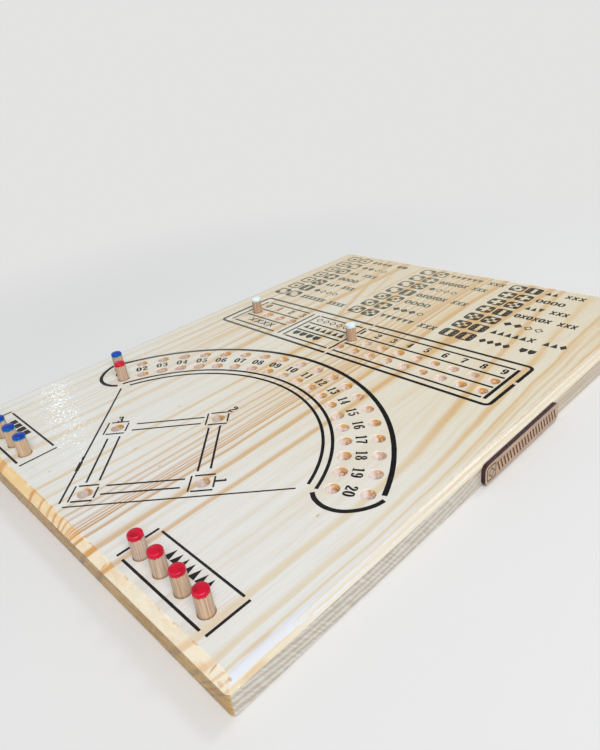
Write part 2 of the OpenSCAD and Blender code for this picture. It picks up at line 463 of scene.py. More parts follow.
def pine_end_grain(net, x, z, upright, late):
    """Colour of the front and back."""
    mottle = net.stretched(net.join(x, 0, z), (0.07, 1, 0.5), 3, 0.6)
    honey = net.blend(net.fit(x, *BEVEL_X), *BEVEL_HONEY)
    honey = net.blend(net.fit(mottle, 0.44, 0.66, 0, 0.45), honey, BEVEL_DARK)
    honey = net.blend(net.fit(mottle, 0.44, 0.34, 0, 0.7), honey, BEVEL_LIGHT)
    stripe = net.times(late, net.fit(x, *BEVEL_RING_X), clamp=True)
    honey = net.blend(stripe, honey, BEVEL_RING)
    slope = net.times_plus(x, END_SLOPE, z)
    layer = net.stretched(net.join(x, 0, slope), (0.02, 1, 0.55), 3, 0.6)
    brown = net.blend(net.fit(layer, 0.36, 0.64), *END_BROWN)
    brown = net.blend(net.times(late, END_RING_SHARE), brown, END_RING)
    return net.blend(upright, honey, brown)


def pine_side_grain(net, x, y, z):
    """Colour of the long upright sides."""
    off = net.minus(y, SAG_AT)
    sag = net.times(net.times(off, off), SAG_PER_SQUARE_MM)
    wander = net.stretched(net.join(y, x, z), (0.02, 0.03, 0.09))
    level = net.times_plus(wander, SIDE_WANDER, net.minus(z, sag))
    bands = net.math("SINE", net.times(level, 2 * pi / SIDE_BAND))
    steep = net.times_plus(y, HATCH_ALONG, net.times(z, HATCH_UP))
    run = net.times_plus(y, HATCH_UP, net.times(z, -HATCH_ALONG))
    hatch = net.stretched(net.join(steep, run, x), (0.75, 0.07, 0.03), 2, 0.6)
    near = net.math("ADD", net.times_plus(bands, 0.3, 0.5), net.times(net.minus(hatch, 0.5), 1.6))
    lines = net.stretched(net.join(y, x, z), (0.008, 0.03, 0.55), 3, 0.6)
    near = net.blend(net.fit(near, 0, 1), *SIDE_NEAR)
    far = net.blend(net.fit(lines, 0.36, 0.62), *SIDE_FAR)
    return net.blend(net.fit(y, *SIDE_Y), near, far)


def pine_streaks(net, x, y, color):
    """Blend the right-hand bevel's painted highlights, pale streaks, into a colour; they drift
    with the length.
    """
    drift = net.stretched(net.join(y, 0, 0), (0.02, 0, 0))
    moved = net.times_plus(drift, STREAK_DRIFT, net.minus(x, 0.5 * STREAK_DRIFT))
    between = net.times(net.fit(x, *STREAK_GAP_X), net.fit(y, *STREAK_GAP_Y))
    color = net.blend(between, color, STREAK_GAP)
    near = net.fit(y, *STREAK_WIDEN_Y)
    pale = net.blend(net.fit(y, *STREAK_COLOR_Y), *STREAK_HIGHLIGHT)
    mottle = net.stretched(net.join(x, y, 0), (0.45, 0.22, 0))
    mottle = net.fit(mottle, 0.42, 0.58, 0.55, 1)
    for (far_middle, far_half), (near_middle, near_half) in HIGHLIGHT_STREAKS:
        middle = net.fit(near, 0, 1, far_middle, near_middle, smooth=False)
        half = net.fit(near, 0, 1, far_half, near_half, smooth=False)
        off = net.math("DIVIDE", net.size(net.minus(moved, middle)), half)
        patchy = net.stretched(net.join(moved, y, middle), (0.5, 0.05, 1), 2, 0.6)
        level = net.times(net.fit(off, 0.3, 1, 1, 0), net.fit(patchy, 0.34, 0.58, 0.5, 1))
        color = net.blend(net.times(level, mottle), color, pale)
    return color


def pine_arris(net, y, place, nz, color):
    """Blend the beads on the near bevel's upper edge into a colour: bright painted glints, then
    amber resin.
    """
    off = net.size(net.minus(net.size(y), ARRIS_AT))
    line = net.times(net.fit(off, 0.3, 1.1, 1, 0), net.fit(nz, 0.8, 0.9))
    line = net.times(line, net.fit(y, *ARRIS_Y))
    broken = net.noise(place, 0.17, 2, 0.6)
    glint = net.times(line, net.fit(broken, 0.58, 0.66, 0, 0.7))
    amber = net.times(line, net.fit(broken, 0.44, 0.36, 0, 0.5))
    return net.blend(amber, net.blend(glint, color, ARRIS_GLINT), ARRIS_AMBER)


def pine_lining(net, place, nx, ny):
    """Colour of a hole's wall: pale on the left and lightened there as painted light, torn fibres
    on the right, gold at the rim, painted glints, and painted shade in the base holes.
    """
    x, y, z = net.split(place)
    side = net.fit(net.times_plus(nx, -0.5, net.times(ny, -1)), -0.15, 0.75)
    torn = net.noise(place, 0.42, 3, 0.7)
    mottle = net.fit(torn, 0.43, 0.57)
    each = net.fit(net.noise(place, 0.045, 1, 0.5), 0.4, 0.6)
    pale = net.blend(mottle, *LINING_PALE_LIT)
    pale = net.blend(net.fit(x, *LINING_LEFT_X), pale, LINING_LEFT)
    fibres = net.blend(mottle, *LINING_FIBRES)
    share = net.times(side, net.times_plus(each, 0.7, 0.4), clamp=True)
    gold = net.times(share, net.fit(z, *LINING_GOLD_Z))
    lining = net.blend(gold, net.blend(share, pale, fibres), LINING_GOLD)
    lining = net.blend(net.fit(torn, 0.57, 0.62, 0, 0.85), lining, LINING_GLINT)
    base_hole_shade = net.times(net.fit(net.size(x), *BASE_X), net.fit(y, *BASE_Y))
    return net.blend(base_hole_shade, lining, BASE_HOLE_SHADE)


def pine_grain(net, place, flat):
    """Place across the rings, depth of latewood colour and fibre noise."""
    x, y, z = net.split(place)
    across = pine_warp(net, x, y, net.minus(TOP, z), flat)
    for stretch, roughness, reach in WAVES:
        swing = net.stretched(net.join(x, y, z), stretch, 2, roughness)
        across = net.times_plus(net.minus(swing, 0.5), reach, across)
    late = net.times(pine_bands(net, across, RINGS), pine_spread(net, y, across))
    for figure in FIGURES:
        late = net.larger(late, pine_figure(net, x, y, figure))
    fibre = net.stretched(net.join(across, y, z), FIBRE, 3, 0.65)
    return across, late, fibre


def pine_material():
    net = Net("varnished_pine")
    place = net.place()
    x, y, z = net.split(place)
    nx, ny, nz = net.split(net.normal())
    flat = net.size(ny)
    upright = net.fit(nz, 0.6, 0.2)
    across, late, fibre = pine_grain(net, place, flat)
    color = pine_streaks(net, x, y, pine_top(net, x, y, z, across, late, fibre))
    color = net.blend(upright, color, pine_side_grain(net, x, y, z))
    facing = net.fit(net.times(flat, net.fit(upright, 0, 1, 1, 0.28)), 0.1, 0.22)
    color = net.blend(facing, color, pine_end_grain(net, x, z, upright, late))
    flecks = net.times(pine_flecks(net, x, y), net.minus(1, upright))
    color = net.blend(flecks, color, FLECK_BROWN)
    color = pine_arris(net, y, place, nz, color)
    within = net.times(net.fit(net.size(x), *HOLES_X, smooth=False),
                       net.fit(net.size(y), *HOLES_Y, smooth=False))
    holes = net.times(within, net.fit(nz, 0.75, 0.55))
    color = net.blend(holes, color, pine_lining(net, place, nx, ny))
    bottom = net.times(net.fit(z, HOLE_FLOOR + 0.6, HOLE_FLOOR + 0.2), net.fit(nz, 0.7, 0.9))
    color = net.blend(bottom, color, HOLE_BOTTOM)
    peel = net.noise(place, BEAD_SCALE, 1)
    beads = net.fit(peel, *BEAD_COAT)
    beads = net.blend(net.fit(net.size(x), *BEVEL_COAT_X), beads, BEVEL_COAT)
    beads = net.larger(beads, net.times(holes, HOLE_COAT))
    bump = net.bump(fibre, 0.22, 0.12)
    bump = net.bump(net.noise(place, 0.9), 0.25, 0.1, bump)
    ripples = net.bump(peel, 0.22, 0.4, bump)
    return net.finish(color, net.fit(fibre, 0.2, 0.8, 0.4, 0.52), bump,
                      coat=beads, coat_roughness=0.1, coat_normal=ripples, specular=0.3)


# Black paint: grey where the room's light lies on it, which is on the left and far away
INK = ((0.008, 0.008, 0.009), (0.024, 0.022, 0.021))
INK_SHEEN = ((0.125, 0.14, 0.125), (0.185, 0.185, 0.155))
INK_SHEEN_RIGHT = (0.048, 0.044, 0.034)
INK_SHEEN_FAR_Y, INK_SHEEN_RIGHT_X = (130, 235), (20, 90)
INK_GREY_LEFT, INK_GREY_LEFT_Y, INK_GREY_Y = (10, 115), (-115, -85), (70, 125)
INK_GREY_SLANT = 0.4
INK_GLOSS_Y = (-210, -80, 0.18, 0.03)


def ink_material():
    net = Net("black_marking_paint")
    place = net.place()
    x, y, _ = net.split(place)
    cloud = net.noise(place, 0.35, 3, 0.6)
    color = net.blend(net.fit(cloud, 0.45, 0.8), *INK)
    sheen = net.blend(net.fit(y, *INK_SHEEN_FAR_Y), *INK_SHEEN)
    sheen = net.blend(net.fit(x, *INK_SHEEN_RIGHT_X), sheen, INK_SHEEN_RIGHT)
    leftward = net.times_plus(y, INK_GREY_SLANT, net.times(x, -1))
    left = net.times(net.fit(leftward, *INK_GREY_LEFT), net.fit(y, *INK_GREY_LEFT_Y))
    color = net.blend(net.larger(left, net.fit(y, *INK_GREY_Y)), color, sheen)
    grain = net.stretched(place, (1.6, 0.05, 1.6), 2, 0.6)
    return net.finish(color, net.fit(cloud, 0.3, 0.7, 0.38, 0.52), net.bump(grain, 0.3, 0.1),
                      specular=net.fit(y, *INK_GLOSS_Y))


# Dowels: tints of the bare wood, then for each kind its pegs, the height where its paint ends,
# its paints (full, where it pooled, thin at the lower edge, on the rim, where thin paint has a
# painted highlight on the side facing the front) and its two wood colours
DOWEL_TINT, DOWEL_LINE, DOWEL_FOOT = (0.6, 0.41, 0.24), (0.33, 0.2, 0.13), (0.36, 0.17, 0.08)
PAINT_RAG = 3.4
PAINT_COAT = 0.11
DOWELS = [
    ("red_tipped_dowel", ["visitor_" + peg for peg in TEAM_PEGS], 32.9,
     ((0.61, 0.003, 0.028), (0.38, 0.002, 0.018), (0.66, 0.02, 0.06), (0.69, 0.03, 0.085)),
     ((0.55, 0.41, 0.32), (0.7, 0.56, 0.45))),
    ("blue_tipped_dowel", ["home_" + peg for peg in TEAM_PEGS], 32.8,
     ((0.001, 0.045, 0.41), (0.001, 0.028, 0.26), (0.01, 0.27, 0.45), (0.015, 0.13, 0.58)),
     ((0.56, 0.41, 0.28), (0.72, 0.57, 0.42))),
    ("white_tipped_dowel", ["outs_marker_peg", "inning_marker_peg"], 31.4,
     ((0.8, 0.98, 1), (0.68, 0.84, 0.93), (0.74, 0.84, 0.94), (0.82, 0.97, 1)),
     ((0.46, 0.3, 0.19), (0.66, 0.5, 0.36))),
]


def dowel_wood(net, place, lines, wood):
    """Bare dowel, darker at its foot."""
    grain = net.stretched(place, (1.1, 1.1, 0.02))
    tint = net.stretched(place, (0.05, 0.05, 0), 1)
    color = net.blend(net.fit(grain, 0.35, 0.65), *wood)
    color = net.blend(net.fit(tint, 0.35, 0.65, 0, 0.5), color, DOWEL_TINT)
    color = net.blend(net.fit(lines, 0.49, 0.62, 0, 0.7), color, DOWEL_LINE)
    foot = net.fit(net.split(place)[2], TOP + 0.2, TOP + 1.6, 0.45, 0)
    return net.blend(foot, color, DOWEL_FOOT)


def dip_paint(net, pool, edge, paints):
    """Colour of the dipped paint, worn where the tip is rounded and lighter there as a painted
    highlight, most on the side facing the front.
    """
    full, deep, thin, rim = paints
    _, ny, nz = net.split(net.normal())
    coat = net.blend(net.fit(pool, 0.42, 0.64, 0, 0.8), full, deep)
    rounded = net.times(net.fit(nz, 0.985, 0.88), net.fit(nz, 0.15, 0.45))
    worn_and_lit = net.times(rounded, net.fit(ny, 0.25, -0.45, 0.1, 0.6))
    coat = net.blend(worn_and_lit, coat, rim)
    return net.blend(net.fit(edge, 0.2, 2.2, 0.9, 0), coat, thin)


def dowel_material(name, paint_from, paints, wood):
    """Dowel with a dipped tip: the paint ends in a ragged line near paint_from."""
    net = Net(name)
    place = net.place()
    lines = net.stretched(place, (2.6, 2.6, 0.03), 2, 0.6)
    rag = net.stretched(place, (0.8, 0.8, 0.3), 3, 0.65)
    height = net.minus(net.split(place)[2], paint_from + 0.5 * PAINT_RAG)
    edge = net.times_plus(rag, PAINT_RAG, height)
    dipped = net.fit(edge, -0.12, 0.12)
    pool = net.noise(place, 0.16, 2, 0.5)
    color = net.blend(dipped, dowel_wood(net, place, lines, wood),
                      dip_paint(net, pool, edge, paints))
    bump = net.bump(lines, 0.3, 0.12)
    bump = net.bump(net.times(dipped, net.math("ADD", pool, 0.7)), 0.6, 0.35, bump)
    return net.finish(color, net.times_plus(dipped, -0.34, 0.58), bump,
                      coat=net.times(dipped, PAINT_COAT), coat_roughness=0.12, specular=0.11)


# Plaque: laser-cut plywood with a pale face, scorched engraving and charred edges
FACE = ((0.37, 0.265, 0.19), (0.52, 0.395, 0.3))
BURNT = ((0.17, 0.055, 0.018), (0.3, 0.11, 0.035))
CHARRED = ((0.03, 0.013, 0.016), (0.085, 0.042, 0.048))
ENGRAVING = 0.4


def plaque_material(face_x):
    net = Net("engraved_plywood")
    place = net.place()
    grain = net.stretched(place, (0.5, 0.05, 1.4), 3, 0.6)
    char = net.noise(place, 0.6, 3, 0.6)
    face = net.blend(net.fit(grain, 0.3, 0.7), *FACE)
    burnt = net.blend(net.fit(char, 0.3, 0.7), *BURNT)
    edge = net.blend(net.fit(char, 0.3, 0.7), *CHARRED)
    x, _, _ = net.split(place)
    sunk = net.fit(x, face_x - 0.8 * ENGRAVING, face_x - 0.2 * ENGRAVING, 1, 0)
    side = net.fit(net.size(net.split(net.normal())[0]), 0.5, 0.9, 1, 0)
    color = net.blend(side, net.blend(sunk, face, burnt), edge)
    return net.finish(color, net.fit(char, 0.2, 0.8, 0.42, 0.6), net.bump(grain, 0.3, 0.12),
                      specular=0.14)


# Flat painted marks
INK_SINK, INK_RISE = 0.06, 0.05
INK_LAYERS, INK_LAYER = 7, 0.006
LINE_STEP = 2
CURVE_STEPS, CORNER_STEPS, LOOP_STEPS = 8, 6, 28
# Share by which a painted line's width wanders, and how fast
ROUGH_SHARE, ROUGH_PER_MM, ROUGH_SLICE = 0.07, 0.7, 3


class Marks:
    """A mesh of thin closed prisms that lie on the playing face."""

    def __init__(self, name):
        self.name = name
        self.points = []
        self.faces = []
        self.layer = 0

    def top(self):
        """Height of the next stroke: strokes that cross must not share a top face."""
        self.layer = (self.layer + 1) % INK_LAYERS
        return TOP + INK_RISE + INK_LAYER * self.layer

    def prism(self, outline):
        start = len(self.points)
        count = len(outline)
        for height in (TOP - INK_SINK, self.top()):
            self.points += [(px, py, height) for px, py in outline]
        self.faces.append([start + k for k in reversed(range(count))])
        self.faces.append([start + count + k for k in range(count)])
        for k in range(count):
            after = (k + 1) % count
            self.faces.append([start + k, start + after,
                               start + count + after, start + count + k])

    def band(self, left, right, closed):
        start = len(self.points)
        count = len(left)
        for height in (TOP - INK_SINK, self.top()):
            self.points += [(px, py, height) for px, py in left + right]
        upper = start + 2 * count
        for k in range(count if closed else count - 1):
            a, b = k, (k + 1) % count
            c, d = count + b, count + a
            self.faces.append([upper + d, upper + c, upper + b, upper + a])
            self.faces.append([start + a, start + b, start + c, start + d])
            self.faces.append([start + b, start + a, upper + a, upper + b])
            self.faces.append([start + d, start + c, upper + c, upper + d])
        if not closed:
            for k in (0, count - 1):
                ends = [start + k, start + count + k, upper + count + k, upper + k]
                self.faces.append(ends if k == 0 else ends[::-1])

    def build(self, material):
        mesh = bpy.data.meshes.new(self.name)
        mesh.from_pydata([tuple(MM * part for part in p) for p in self.points], [], self.faces)
        mesh.materials.append(material)
        mesh.validate()
        piece = link(self.name, mesh)
        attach(piece, "board")


def resample(path, closed=False):
    """Points every LINE_STEP or less along a polyline."""
    ring = path + [path[0]] if closed else path
    out = []
    for (ax, ay), (bx, by) in zip(ring, ring[1:]):
        pieces = max(1, int(hypot(bx - ax, by - ay) / LINE_STEP))
        out += [(ax + (bx - ax) * k / pieces, ay + (by - ay) * k / pieces) for k in range(pieces)]
    return out if closed else out + [path[-1]]


def smooth_path(knots):
    """A smooth open curve through the knots."""
    ends = [knots[0]] + knots + [knots[-1]]
    out = []
    for around in zip(ends, ends[1:], ends[2:], ends[3:]):
        for k in range(CURVE_STEPS):
            t = k / CURVE_STEPS
            out.append(tuple(0.5 * (2 * b + (c - a) * t + (2 * a - 5 * b + 4 * c - d) * t * t
                                    + (3 * b - a - 3 * c + d) * t ** 3)
                             for a, b, c, d in zip(*around)))
    return out + [knots[-1]]


def arc(centre, radius, start, end, steps):
    """Points on a circle between two angles in degrees."""
    return [(centre[0] + radius * cos(radians(start + (end - start) * k / steps)),
             centre[1] + radius * sin(radians(start + (end - start) * k / steps)))
            for k in range(steps + 1)]


def loop(middle, radii, steps=LOOP_STEPS):
    """Points round an ellipse."""
    return [(middle[0] + radii[0] * cos(2 * pi * k / steps),
             middle[1] + radii[1] * sin(2 * pi * k / steps)) for k in range(steps)]


def ribbon(marks, path, width, closed=False):
    """A painted line along a path; width is a number or a call on the line's direction."""
    left, right = [], []
    count = len(path)
    for k, (px, py) in enumerate(path):
        before = path[k - 1] if closed or k else path[k]
        after = path[(k + 1) % count] if closed or k < count - 1 else path[k]
        dx, dy = after[0] - before[0], after[1] - before[1]
        length = hypot(dx, dy) or 1
        dx, dy = dx / length, dy / length
        wide = width(dx, dy) if callable(width) else width
        spot = Vector((px * ROUGH_PER_MM, py * ROUGH_PER_MM, ROUGH_SLICE))
        half = 0.5 * wide * (1 + ROUGH_SHARE * noise.noise(spot))
        left.append((px - dy * half, py + dx * half))
        right.append((px + dy * half, py - dx * half))
    marks.band(left, right, closed)


def disc(marks, centre, radius, sides):
    marks.prism(loop(centre, (radius, radius), sides))


def lines(marks, strokes, shift=(0, 0), side=1):
    """Straight strokes, each (from x, from y, to x, to y, width), mirrored or moved."""
    for ax, ay, bx, by, width in strokes:
        start = (shift[0] + side * ax, shift[1] + ay)
        end = (shift[0] + side * bx, shift[1] + by)
        ribbon(marks, resample([start, end]), width)


class Placer:
    """Draws shapes given in a label's own axes onto the board."""

    def __init__(self, marks, origin, angle, height):
        self.marks = marks
        self.origin = origin
        self.turn = (cos(radians(angle)), sin(radians(angle)))
        self.height = height

    def at(self, x, y):
        c, s = self.turn
        x, y = x * self.height, y * self.height
        return (self.origin[0] + c * x - s * y, self.origin[1] + s * x + c * y)

    def path(self, knots):
        return [self.at(*knot) for knot in knots]

    def stroke(self, knots, width, closed=False):
        ribbon(self.marks, self.path(knots), width * self.height, closed)

    def nib(self, knots, thin, thick, closed=False):
        """A stroke that is thick where it runs along the letter's height."""
        c, s = self.turn

        def width(dx, dy):
            upright = abs(dy * c - dx * s)
            return self.height * (thin + (thick - thin) * upright ** NIB_POWER)
        ribbon(self.marks, self.path(knots), width, closed)

    def parts(self, parts, x, wide=1, turned=False):
        """Draw a numeral or sign with its left edge at x."""
        for kind, size, knots in parts:
            if kind == "loop":
                knots = loop(*knots)
            if turned:
                knots = [(TURNED_WIDTH - kx, 1 - ky) for kx, ky in knots]
            knots = [(x + wide * kx, ky) for kx, ky in knots]
            if kind == "loop":
                self.nib(knots, *size, closed=True)
            elif kind == "curve":
                self.nib(smooth_path(knots), *size)
            elif kind == "solid":
                self.marks.prism(self.path(knots))
            elif kind == "blob":
                disc(self.marks, self.at(*knots[0]), size * self.height, BLOB_SIDES)
            else:
                self.stroke(knots, size, closed=kind == "outline")


NIB_POWER = 1.6
BLOB_SIDES = 20
THIN, THICK = 0.075, 0.23
NIB = (THIN, THICK)
# Parts of each numeral, one unit high, in drawing order: kind, width or widths (for a blob its
# radius) and points, which for a loop are its middle and its radii
NUMERALS = {
    "0": [("loop", NIB, [(0.31, 0.5), (0.2, 0.46)])],
    "1": [("stroke", THICK, [(0.33, 0.02), (0.33, 0.98)]),
          ("stroke", THIN, [(0.12, 0.84), (0.3, 0.95)]),
          ("stroke", THIN, [(0.12, 0.035), (0.54, 0.035)])],
    "2": [("curve", NIB, [(0.13, 0.76), (0.2, 0.93), (0.32, 0.96), (0.44, 0.86),
                          (0.46, 0.68), (0.36, 0.46), (0.2, 0.26), (0.11, 0.1)]),
          ("blob", 0.1, [(0.16, 0.76)]),
          ("stroke", 0.15, [(0.08, 0.09), (0.54, 0.09)]),
          ("stroke", THIN, [(0.54, 0.03), (0.56, 0.26)])],
    "3": [("curve", NIB, [(0.13, 0.82), (0.2, 0.94), (0.32, 0.95), (0.43, 0.84),
                          (0.42, 0.66), (0.32, 0.55), (0.22, 0.53)]),
          ("curve", NIB, [(0.24, 0.53), (0.36, 0.5), (0.46, 0.38), (0.47, 0.22),
                          (0.38, 0.07), (0.24, 0.04), (0.13, 0.16)]),
          ("blob", 0.09, [(0.16, 0.8)]), ("blob", 0.1, [(0.15, 0.19)])],
    "4": [("stroke", THICK, [(0.37, 0.02), (0.37, 0.98)]),
          ("stroke", THIN, [(0.36, 0.96), (0.05, 0.3)]),
          ("stroke", THIN, [(0.04, 0.28), (0.6, 0.28)]),
          ("stroke", THIN, [(0.2, 0.035), (0.56, 0.035)])],
    "5": [("stroke", 0.16, [(0.14, 0.9), (0.52, 0.9)]),
          ("stroke", THIN, [(0.15, 0.94), (0.13, 0.5)]),
          ("curve", NIB, [(0.13, 0.52), (0.24, 0.61), (0.37, 0.58), (0.46, 0.44),
                          (0.46, 0.24), (0.37, 0.08), (0.24, 0.04), (0.13, 0.15)]),
          ("blob", 0.1, [(0.15, 0.19)])],
    "6": [("loop", NIB, [(0.31, 0.31), (0.18, 0.265)]),
          ("curve", NIB, [(0.13, 0.34), (0.13, 0.58), (0.2, 0.82), (0.32, 0.95),
                          (0.44, 0.93), (0.48, 0.84)]),
          ("blob", 0.085, [(0.46, 0.81)])],
    "7": [("stroke", 0.16, [(0.08, 0.9), (0.57, 0.9)]),
          ("stroke", THIN, [(0.09, 0.97), (0.07, 0.7)]),
          ("curve", NIB, [(0.54, 0.88), (0.4, 0.62), (0.31, 0.36), (0.29, 0.02)])],
    "8": [("loop", (THIN, 0.9 * THICK), [(0.31, 0.745), (0.15, 0.215)]),
          ("loop", NIB, [(0.31, 0.275), (0.19, 0.235)])],
}
ADVANCE = 0.7
# The nine is the six, turned half round in this width
TURNED_WIDTH = 0.62
# Plain signs in the same form, up to one unit wide
SIGNS = {
    "d": [("outline", 0.17, [(0.5, 0.08), (0.9, 0.5), (0.5, 0.92), (0.1, 0.5)])],
    "D": [("solid", None, [(0.5, -0.03), (1, 0.5), (0.5, 1.03), (0, 0.5)])],
    "x": [("stroke", 0.24, [(0.12, 0.03), (0.88, 0.97)]),
          ("stroke", 0.17, [(0.12, 0.97), (0.88, 0.03)])],
    "o": [("loop", (0.12, 0.27), [(0.5, 0.5), (0.36, 0.44)])],
    "a": [("solid", None, [(0, 0.03), (1, 0.03), (0.5, 1)])],
    "v": [("solid", None, [(0, 0.97), (0.5, 0), (1, 0.97)])],
    "p": [("solid", None, [(0.04, 0.42), (0.5, 0), (0.96, 0.42), (0.96, 1), (0.04, 1)])],
}
SIGN_FILL = 0.88


def number(marks, text, centre, angle, height):
    """A number centred on a point and turned by angle."""
    pen = Placer(marks, centre, angle, height)
    pen.origin = pen.at(-0.5 * ADVANCE * len(text), -0.5)
    for k, digit in enumerate(text):
        nine = digit == "9"
        pen.parts(NUMERALS["6" if nine else digit], k * ADVANCE, turned=nine)


def signs(marks, kinds, left, middle_y, width, height):
    """A row of signs from left, spread over width."""
    pitch = width / len(kinds) / height
    wide = min(1, SIGN_FILL * pitch)
    pen = Placer(marks, (left, middle_y - 0.5 * height), 0, height)
    for k, kind in enumerate(kinds):
        if kind != " ":
            pen.parts(SIGNS[kind], k * pitch, wide)


# Field: bases, base paths on one side, then foul lines with a blot on the left one
HOME_Y = -240
BASE_STEP = 60
BASES = [(0, HOME_Y), (BASE_STEP, HOME_Y + BASE_STEP), (0, HOME_Y + 2 * BASE_STEP),
         (-BASE_STEP, HOME_Y + BASE_STEP)]
BASE_STROKES = [(-12.7, -0.3, -0.4, -12.9, 1.35), (-11, 1.2, -0.4, 11.8, 1.7),
                (1.5, 10.2, 10.2, 1.3, 1.35), (0.9, -11.5, 12, -0.6, 1.7)]
PATH_STROKES = [(5, -225.6, 46.3, -185.4, 1.7), (10.6, -233.4, 51.5, -193.6, 1.7),
                (10.5, -126, 51.3, -166.4, 1.7), (5.5, -133.8, 46.2, -174.4, 1.7)]
FOUL_STROKES = [(1.8, -258, 117.2, -144.6, 1.35), (-3.8, -257.5, -120.9, -141.6, 1.6),
                (-38.8, -223.2, -30.6, -231.3, 2.9), (-44.2, -217.9, -41.4, -220.7, 2.3)]
BASE_NUMBERS = [("1", (68.6, -171), -45), ("2", (0, -103.4), 0), ("3", (-69.4, -170.8), 45)]
LABEL_HEIGHT = 9


def draw_field(marks):
    for base in BASES:
        lines(marks, BASE_STROKES, shift=base)
    for side in (1, -1):
        lines(marks, PATH_STROKES, side=side)
    lines(marks, FOUL_STROKES)
    for text, centre, angle in BASE_NUMBERS:
        number(marks, text, centre, angle, LABEL_HEIGHT)


# Run track: arcs (centre, radius, from, to, steps, width), then the caps at their ends
TRACK_CENTRE = (0, -186)
INNER_LINES_CENTRE = (0, -182.2)
TRACK_ARCS = [(INNER_LINES_CENTRE, 129.3, 20.8, 157.6, 110, 2.5),
              (INNER_LINES_CENTRE, 136.4, 19.5, 160.1, 120, 2.6),
              (TRACK_CENTRE, 183.2, 22.8, 156.4, 140, 3.8)]
CAP = [(129, -140.8), (135.5, -144.9), (145.5, -146.6), (156, -143.6), (164.5, -136),
       (170, -126.5), (171.8, -118.6)]
CAP_WIDTH = 3.4
TRACK_NUMBER_R = 160.4
TRACK_NUMBER_HEIGHT = 8.6
TRACK_STEP = 7.12
TRACK_HOLES = 20


def draw_track(marks):
    for centre, radius, start, end, steps, width in TRACK_ARCS:
        ribbon(marks, arc(centre, radius, start, end, steps), width)
    for side in (1, -1):
        ribbon(marks, smooth_path([(side * cx, cy) for cx, cy in CAP]), CAP_WIDTH)
    for k in range(1, TRACK_HOLES + 1):
        angle = 90 + ((TRACK_HOLES + 1) / 2 - k) * TRACK_STEP
        spot = arc(TRACK_CENTRE, TRACK_NUMBER_R, angle, angle, 1)[0]
        number(marks, "%02d" % k, spot, angle - 90, TRACK_NUMBER_HEIGHT)


def box_corners(low, high, radius):
    """Rounded corners of a box, from the far right one over the left to the near right one."""
    left, right = low[0] + radius, high[0] - radius
    near, far = low[1] + radius, high[1] - radius
    return [arc(centre, radius, start, start + 90, CORNER_STEPS)
            for centre, start in (((right, far), 0), ((left, far), 90),
                                  ((left, near), 180), ((right, near), 270))]


# Scoreboard: its frame has a gap in the far and near sides at one x, and one on the right
SCORE_LOW, SCORE_HIGH, SCORE_CORNER = (-169, 16.6), (165, 90), 5
SCORE_GAP_X, SCORE_GAP_Y = (-9.2, -6.8), (56.6, 60.4)
SCORE_FRAME_WIDTH = 3.2
ROWS = (79.6, 61.4, 43.2, 25)
ROW_SPANS = [(-155, -91.5), (-73.5, -14.5), (-6.5, 154)]
ROW_WIDTH = 2.4
POSTS = [(-160.2, 2.3), (-84.3, 2.3), (-76.3, 2.3), (-11, 2.1), (157, 3.1)]
POST_OVER = 0.6
COUNTS_Y, COUNT_HEIGHT = 71.3, 9.2
INNINGS, INNING_X, INNING_PITCH = 9, -6.3, 19.4
OUTS, OUTS_X, OUTS_PITCH = 4, -149, 18.6
SCORE_SIGNS = [("xxxx", -141, 35, 40), ("dddddd", -71.5, 71.3, 56),
               ("aaaaaaa", -71.5, 53.2, 56), ("pppp", -71.5, 35.2, 38)]


def draw_score_frame(marks):
    far_right, far_left, near_left, near_right = box_corners(SCORE_LOW, SCORE_HIGH, SCORE_CORNER)
    near, right, far = SCORE_LOW[1], *SCORE_HIGH
    left_end, right_end = SCORE_GAP_X
    low_end, high_end = SCORE_GAP_Y
    for path in ([(right, high_end)] + far_right + [(right_end, far)],
                 [(left_end, far)] + far_left + near_left + [(left_end, near)],
                 [(right_end, near)] + near_right + [(right, low_end)]):
        ribbon(marks, resample(path), SCORE_FRAME_WIDTH)


def draw_scoreboard(marks):
    draw_score_frame(marks)
    for y in ROWS:
        lines(marks, [(start, y, end, y, ROW_WIDTH) for start, end in ROW_SPANS])
    near, far = ROWS[-1] - POST_OVER, ROWS[0] + POST_OVER
    lines(marks, [(x, near, x, far, width) for x, width in POSTS])
    for k in range(INNINGS):
        number(marks, str(k + 1), (INNING_X + k * INNING_PITCH, COUNTS_Y), 0, COUNT_HEIGHT)
    for k in range(OUTS):
        number(marks, str(k), (OUTS_X + k * OUTS_PITCH, COUNTS_Y), 0, COUNT_HEIGHT)
    for kinds, left, y, width in SCORE_SIGNS:
        signs(marks, kinds, left, y, width, LABEL_HEIGHT)


# Boxes round the stored pegs, and the signs in them
STORE_STROKES = [
    (79.4, -226.5, 161.8, -226.5, 1.75), (81.4, -256.3, 160.8, -256.3, 1.85),
    (75.8, -226.2, 75.8, -256.9, 1.95), (166.1, -226, 166.1, -256.4, 1.9),
    (-80.9, -226.5, -167.4, -226.5, 1.75), (-81.2, -256.7, -165.4, -256.7, 1.85),
    (-75.9, -226, -75.9, -257.2, 1.85), (-171.1, -226, -171.1, -256.8, 1.85),
]
STORE_SIGNS = [("aaaaaaa", 99, -233.9, 44), ("pppp", -153, -233.9, 36)]
STORE_SIGN_HEIGHT = 8.8


def draw_store_boxes(marks):
    lines(marks, STORE_STROKES)
    for kinds, left, y, width in STORE_SIGNS:
        signs(marks, kinds, left, y, width, STORE_SIGN_HEIGHT)


